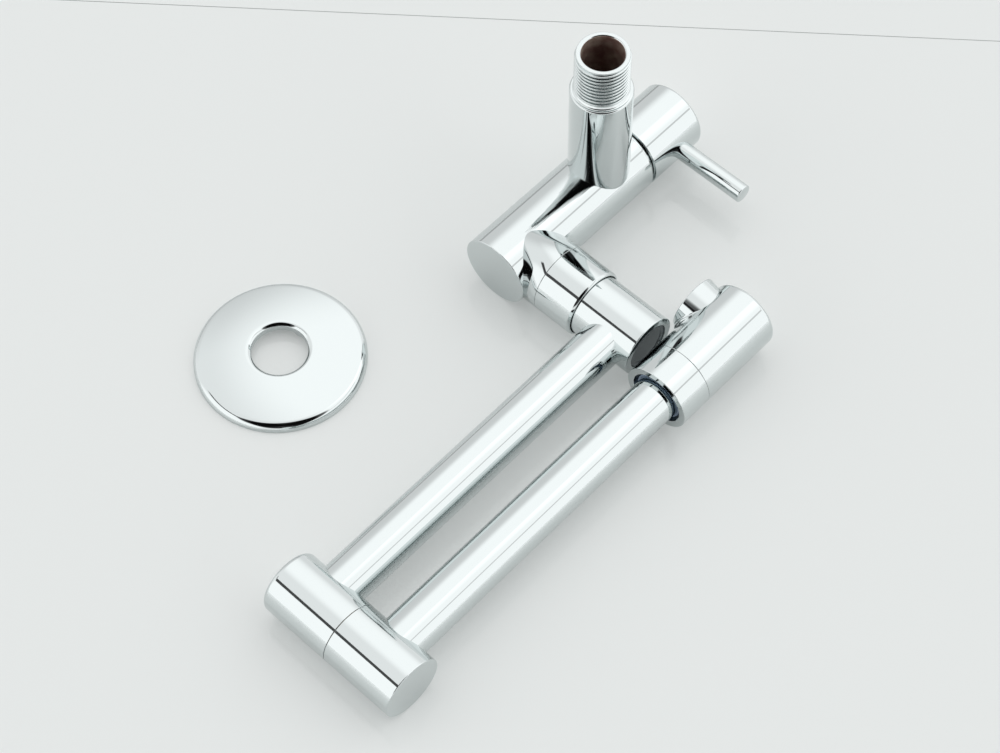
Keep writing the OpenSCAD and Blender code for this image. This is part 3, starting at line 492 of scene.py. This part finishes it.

# %% [markdown]
# ## The post and the first arm
#
# The post turns in the neck and carries the first arm. Its end is closed by a plug that is pressed
# in a little below the rim, which makes the fine rings on that round face. The face's plating is
# painted dark, which stands in for the shaded table that it mirrors. The arm is drawn tube, 18 mm
# across, brazed into the post at one end and into the upper half of the knuckle at the other.

# %% The post and its plug
post = turned([(12, 5.5, 0.2), (12, 7.95, 0.3), (28.7, 7.95), (28.7, 9.4), (34.4, 9.4),
               (34.4, POST_R, 0.3), (64.4, POST_R, 0.4), (64.4, 9.5, 0.12), (61.4, 9.5), (61.4, 8.0),
               (38.1, 8.0), (38.1, 5.5)])
piece("post", post, arm_1 @ ALONG_Y, "arm_1", ["swivel_post"])
plug = turned([(61.4, 0), (61.4, 9.49), (63.8, 9.49, 0.35), (63.8, 7.6, 0.1), (63.62, 7.4, 0.1),
               (63.62, 0)])
piece("post_end_plug", plug, arm_1 @ ALONG_Y, "arm_1", ["post_plug"], finishes=(plug_painted_shade,))


# %% An arm of drawn tube
TUBE_END = 8.35  # a tube stops this far from the axis of the piece that it is brazed into


def arm(start, end):
    """A tube of 18 mm with a wall of 1.5 mm."""
    return turned([(start, TUBE_BORE), (start, TUBE_R, 0.1), (end, TUBE_R, 0.1), (end, TUBE_BORE)])


piece("first_arm", arm(TUBE_END - REACH, -TUBE_END), arm_1 @ shift(y=ARM_1_Y) @ ALONG_X, "arm_1",
      ["arm_1_tube"])

# %% [markdown]
# ## The knuckle and the second arm
#
# The knuckle is two cups that turn against each other on a hidden spindle. The upper one has a
# rounded end and the lower one a flat end with a small chamfer. Only a hairline parts them.

# %% Both halves of the knuckle, and the second arm
upper = turned([(35.3, 0), (35.3, POST_R, 2.0), (65.9, POST_R, 0.15), (65.9, 8.0), (39.8, 8.0),
                (39.8, 0)])
piece("knuckle_upper", upper, arm_1 @ shift(x=-REACH) @ ALONG_Y, "arm_1", ["knuckle_a"])
lower = turned([(96.5, 0), (96.5, POST_R, 0.4), (66.1, POST_R, 0.15), (66.1, 8.0), (92, 8.0),
                (92, 0)])
piece("knuckle_lower", lower, arm_2 @ ALONG_Y, "arm_2", ["knuckle_b"])
piece("second_arm", arm(TUBE_END, 166), arm_2 @ shift(y=ARM_2_Y) @ ALONG_X, "arm_2",
      ["arm_2_tube"])

# %% [markdown]
# ## The spout
#
# The spout turns round the end of the second arm. Its collar nut has an open rim, and in the
# recess a blue-grey guide bush shows. The head behind it has a rounded end, and the outlet stands
# on it, turned a little up from the table, with the aerator inside.

# %% The collar nut and its bush
collar = turned([(COLLAR_X, HEAD_R, 0.25), (156.9, HEAD_R, 0.12), (156.9, 12.0), (149.9, 12.0),
                 (149.9, 9.9), (146.0, 9.9), (146.0, 11.0), (COLLAR_X, 11.0, 0.2)])
piece("spout_collar", collar, spout @ ALONG_X, "spout", ["spout_nut"])
bush = turned([(144.4, 9.05, 0.1), (144.4, 9.89, 0.15), (149.9, 9.89), (149.9, 9.05)])
piece("guide_bush", bush, spout @ ALONG_X, "spout", ["spout_bush"], (acetal,))

# %% The head
HEAD_END = 194
head = turned([(HEAD_END, 0), (HEAD_END, HEAD_R, 1.8), (157, HEAD_R, 0.12), (157, 12.0),
               (152.8, 12.0, 0.3), (152.8, 9.05), (166.2, 9.05), (166.2, 10.25), (190.5, 10.25),
               (190.5, 0)])
across = ALONG_X.inverted() @ shift(x=OUTLET_X) @ turn(-90, "X")
head = drilled(head, drill(9.2, 2, 30, across))

# %% [markdown]
# The outlet's foot flows onto the head in a polished fillet. Think of a small ball that rolls
# round the foot and touches both: where it touches the head, where it touches the outlet, and the
# arc between them are three simple sums. The ball grows towards the collar, where the foot flares,
# and on the closed end there is no room, so it shrinks.

# %% The outlet with its fillet
OUTLET_R, SMALL_BALL, BIG_BALL = 10.8, 0.4, 2.15
ROWS = 8  # steps of the arc; its rings start as a cone, and each is moved to its place below
cone = [(13.5 - 0.2 * k, OUTLET_R + 0.3 * k) for k in range(ROWS + 1)]
stub = turned([(8.6, 9.2), (17.4, 9.2, 0.15), (17.4, OUTLET_R, 0.4)] + cone + [(8.6, 13.3)])
rows = {round(height, 3): row for row, (height, _) in enumerate(cone)}
for vert in stub.verts:
    row = rows.get(round(vert.co.z, 3))
    radius = math.hypot(vert.co.x, vert.co.y)
    if row is None and not (vert.co.z < 9 and radius > 9.5):
        continue
    way_x, way_y = vert.co.x / radius, vert.co.y / radius
    ball = SMALL_BALL + (BIG_BALL - SMALL_BALL) * max(0.0, -way_x) ** 3
    if way_x > 0.5:
        ball = min(ball, max(0.15, (HEAD_END - OUTLET_X) / way_x - OUTLET_R))
    centre = Vector(((OUTLET_R + ball) * way_x, (OUTLET_R + ball) * way_y, 0.0))
    centre.z = math.sqrt((HEAD_R + ball) ** 2 - centre.y ** 2)
    share = HEAD_R / (HEAD_R + ball)
    on_head = Vector((centre.x, centre.y * share, centre.z * share)) - centre
    on_outlet = Vector((OUTLET_R * way_x, OUTLET_R * way_y, centre.z)) - centre
    if row is None:  # the hidden foot, inside the head's wall
        vert.co = centre + on_head * 1.15
        vert.co.y *= 0.93
        vert.co.z *= 0.93
    else:
        vert.co = centre + on_outlet.slerp(on_head, row / ROWS) * (1.01 if row == ROWS else 1.0)
bmesh.ops.transform(stub, matrix=across, verts=stub.verts[:])
piece("spout_head_shell", joined(head, stub), spout @ ALONG_X, "spout", ["spout_head"])
housing = turned([(10.9, 8.0), (16.9, 8.0, 0.2), (16.9, 9.19, 0.3), (10.9, 9.19)], 128)
piece("aerator_ring", housing, outlet, "spout", ["aerator_housing"])

# %% [markdown]
# ## The wall flange
#
# The flange is a pressing of 0.8 mm sheet: a shallow dome whose edge is rolled down, with a small
# funnel and a short collar round the hole, and one tongue under it that grips the thread. It lies
# loose on the table. The whole section, outside and inside, is spun as one loop.

# %% The domed pressing
SHEET = 0.8
DOME_R, DOME_Z = 136.869, -129.842  # the dome's radius, and its centre's height over the table
EDGE_R, EDGE_X, EDGE_Z = 3.6, 29.15, 0.2  # the rolled edge's radius, and where its centre is
LEAN = math.atan2(EDGE_X, EDGE_Z - DOME_Z)  # where the dome runs into the rolled edge
EYE_R, HOLE_R = 12.0, 10.73  # the funnel's upper edge and the hole
COLLAR_LOW = 2.74  # height of the collar's lower edge over the table


def dome_arc(back, first_r, last_r, count):
    """Points on the dome, set back by the sheet's thickness."""
    radius = DOME_R - back
    return [(DOME_Z + math.sqrt(radius ** 2 - r ** 2), r)
            for r in [first_r + (last_r - first_r) * k / count for k in range(count + 1)]]


def edge_arc(back, count):
    """Points on the rolled edge, from the dome down to the upright rim."""
    radius = EDGE_R - back
    return [(EDGE_Z + radius * math.cos(a), EDGE_X + radius * math.sin(a))
            for a in [LEAN + (math.pi / 2 - LEAN) * k / count for k in range(count + 1)]]


meet, meet_in = DOME_R * math.sin(LEAN), (DOME_R - SHEET) * math.sin(LEAN)
eye = [(*dome_arc(0, EYE_R, meet, 16)[0], 0.5)]
outside = eye + dome_arc(0, 13.0, meet, 24)[:-1] + edge_arc(0, 16) + [(0.0, 32.75, 0.05)]
inside = [(0.0, 31.95, 0.05)] + edge_arc(SHEET, 16)[::-1]
inside += dome_arc(SHEET, 12.45, meet_in, 16)[::-1][1:]
lip = [(5.03, HOLE_R + SHEET, 0.2), (COLLAR_LOW, HOLE_R + SHEET, 0.15), (COLLAR_LOW, HOLE_R, 0.15),
       (5.4, HOLE_R, 0.25)]
dish = turned(outside + inside + lip, 256)
print("flange section has", len(outside + inside + lip), "corners")

# %% The tongue under the lip
TONGUE_R, TONGUE_H, TONGUE_AT = 1.8, 1.1, 8  # its round end, its height and its place in degrees
tongue = bmesh.new()
bmesh.ops.create_cone(tongue, cap_ends=True, segments=48, radius1=TONGUE_R, radius2=TONGUE_R,
                      depth=SHEET)
bmesh.ops.transform(tongue, matrix=ALONG_X, verts=tongue.verts[:])
rims = [e for e in tongue.edges if abs(e.verts[0].co.x - e.verts[1].co.x) < 0.01]
bmesh.ops.bevel(tongue, geom=rims, offset=0.15, offset_type="OFFSET", affect="EDGES",
                segments=2, profile=0.5, material=-1, clamp_overlap=True)
to_lip = turn(TONGUE_AT, "Z") @ shift(x=HOLE_R + 0.41, z=COLLAR_LOW - TONGUE_H + TONGUE_R)
bmesh.ops.transform(tongue, matrix=to_lip, verts=tongue.verts[:])
piece("flange_dish", joined(dish, tongue), flange, "flange", ["wall_flange"])

# %% [markdown]
# ## The camera
#
# The photographer stood on the -X side of the table and looked down at about 58 degrees with a
# long lens. The place, turn and focal length come from matching edges of known size.

# %% The camera at the photograph's place
right = Vector((0.685246, -0.728258, -0.008807))
up = Vector((0.621337, 0.578245, 0.528746))
back = -Vector((0.379971, 0.367794, -0.848734))
lens = bpy.data.cameras.new("camera")
lens.lens, lens.sensor_width, lens.sensor_fit = 90.2016, 36.0, "HORIZONTAL"
lens.clip_start, lens.clip_end = 0.01, 50.0
camera = bpy.data.objects.new("camera", lens)
turned_to = Matrix((right, up, back)).transposed().to_4x4()
camera.matrix_world = Matrix.Translation((-0.439412, -0.371091, 0.722450)) @ turned_to
scene.collection.objects.link(camera)
scene.camera = camera
print("camera", round(math.degrees(math.asin(back.z)), 1), "degrees above the table")

# %% [markdown]
# ## The table
#
# The table is a glossy white sheet: it mirrors the tap faintly next to each piece. At the back a
# second sheet meets it in a hairline. Neither is part of the object.

# %% The glossy white table
white_sheet, tree, shader, place = finish("gloss_white_sheet")
shader.inputs["Base Color"].default_value = linear("#E6E9E8")
shader.inputs["IOR"].default_value = 1.6
mist = node(tree, "ShaderNodeTexNoise", Vector=place, Scale=30.0, Detail=2.0)
tree.links.new(spread(tree, mist.outputs["Fac"], 0.03, 0.06), shader.inputs["Roughness"])
# light that wanders inside the sheet lifts its shadows, more for the camera than in mirrors
glow = node(tree, "ShaderNodeEmission", Color=linear("#E4E8E7"), Strength=1.0)
rays = node(tree, "ShaderNodeLightPath")
mirrored = node(tree, "ShaderNodeMath", {"operation": "MULTIPLY"},
                in0=rays.outputs["Is Glossy Ray"], in1=0.2)
share = node(tree, "ShaderNodeMath", {"operation": "MULTIPLY_ADD"},
             in0=rays.outputs["Is Camera Ray"], in1=0.35, in2=mirrored.outputs[0])
blend = node(tree, "ShaderNodeMixShader", Fac=share.outputs[0], in1=shader.outputs[0],
             in2=glow.outputs[0])
tree.links.new(blend.outputs[0], tree.nodes["Material Output"].inputs["Surface"])
top = bmesh.new()
bmesh.ops.create_grid(top, x_segments=8, y_segments=8, size=4000.0)
bmesh.ops.translate(top, vec=(0, 0, TABLE - 0.02), verts=top.verts[:])


def flat_sheet(name, bm, material):
    """A thing of the background, which rides on nothing."""
    bmesh.ops.scale(bm, vec=(MM, MM, MM), verts=bm.verts[:])
    mesh = bpy.data.meshes.new(name)
    bm.to_mesh(mesh)
    bm.free()
    mesh.materials.append(material)
    made = bpy.data.objects.new(name, mesh)
    scene.collection.objects.link(made)
    return made


table = flat_sheet("table", top, white_sheet)

# %% The seam between two sheets, a hairline across the back of the table
first, second = Vector((-216.1, 402.9, 0.0)), Vector((465.7, -421.8, 0.0))
along = (second - first).normalized()
aside = Vector((-along.y, along.x, 0.0)) * 0.16  # half of its width
seam_grey, _, shader, _ = finish("grey_sealant")
shader.inputs["Base Color"].default_value = linear("#8D9191")
strip = bmesh.new()
strip.faces.new([strip.verts.new((*corner.xy, TABLE - 0.01)) for corner in
                 (first - aside, second - aside, second + aside, first + aside)])
bmesh.ops.recalc_face_normals(strip, faces=strip.faces[:])
seam_line = flat_sheet("seam", strip, seam_grey)

# %% [markdown]
# ## The light
#
# Chrome shows only what is round it. The studio is a tent of white cloth: bright overhead and on
# both sides, a little duller behind, dark where the photographer stands in the opening, and with
# three thin seams where cloths meet. Lamps would draw hard spots in the chrome, so the tent is a
# world shader. It reads only the direction, so the light is the same from all views.

# %% The white tent
world = bpy.data.worlds.new("white_tent")
scene.world = world
world.use_nodes = True
sky = world.node_tree
sky.nodes.clear()
way = node(sky, "ShaderNodeTexCoord").outputs["Generated"]
xyz = node(sky, "ShaderNodeSeparateXYZ", Vector=way)


def panel(azimuth, elevation, inner, outer):
    """1 within `inner` degrees of that direction, falling smoothly to 0 at `outer`."""
    az, el = math.radians(azimuth), math.radians(elevation)
    facing = (math.cos(az) * math.cos(el), math.sin(az) * math.cos(el), math.sin(el))
    dot = node(sky, "ShaderNodeVectorMath", {"operation": "DOT_PRODUCT"}, in0=way, in1=facing)
    ramp = node(sky, "ShaderNodeMapRange", {"interpolation_type": "SMOOTHSTEP"},
                Value=dot.outputs["Value"], From_Min=math.cos(math.radians(outer)),
                From_Max=math.cos(math.radians(inner)))
    return ramp.outputs["Result"]


# %% Cloths, as (azimuth, elevation, inner, outer, how much light they add)
light = 1.10
for *where, amount in ((15, 56, 20, 42, 0.27),  # overhead, towards the handle
                       (-62, 30, 38, 46, 0.25),  # the right side
                       (165, 8, 32, 44, 0.27),  # the left side, low
                       (60, 4, 14, 50, -0.26)):  # a duller corner behind
    light = node(sky, "ShaderNodeMath", {"operation": "MULTIPLY_ADD"},
                 in0=panel(*where), in1=amount, in2=light).outputs[0]


# %% Darker places take a share of the light away
def dimmed(light, mask, share):
    """The light with that share taken out where the mask is 1."""
    kept = node(sky, "ShaderNodeMath", {"operation": "MULTIPLY_ADD"}, in0=mask, in1=-share, in2=1.0)
    return node(sky, "ShaderNodeMath", {"operation": "MULTIPLY"},
                in0=light, in1=kept.outputs[0]).outputs[0]


# the opening, from shoulder to shoulder of the photographer, as (a panel, how dark)
for *where, share in ((-136, 42, 28, 35, 0.96), (-109, 45, 17, 24, 0.9), (-163, 45, 17, 24, 0.9)):
    light = dimmed(light, panel(*where), share)

# %% Three thin seams between cloths, as (elevation, half width, the region's panel, how dark)
height = node(sky, "ShaderNodeMath", {"operation": "ARCSINE"}, in0=xyz.outputs["Z"]).outputs[0]
for elevation, half, *where, share in ((45, 3.8, 158, 42, 24, 28, 0.93),
                                       (37, 2.0, -61, 37, 18, 22, 0.38),
                                       (1.5, 2.5, 67, 1, 22, 32, 0.42)):
    seam = node(sky, "ShaderNodeMath", {"operation": "COMPARE"},
                in0=height, in1=math.radians(elevation), in2=math.radians(half))
    here = node(sky, "ShaderNodeMath", {"operation": "MULTIPLY"},
                in0=seam.outputs[0], in1=panel(*where))
    light = dimmed(light, here.outputs[0], share)
shade = node(sky, "ShaderNodeBackground", Color=linear("#FFFFFF"), Strength=light)
node(sky, "ShaderNodeOutputWorld", Surface=shade.outputs[0])
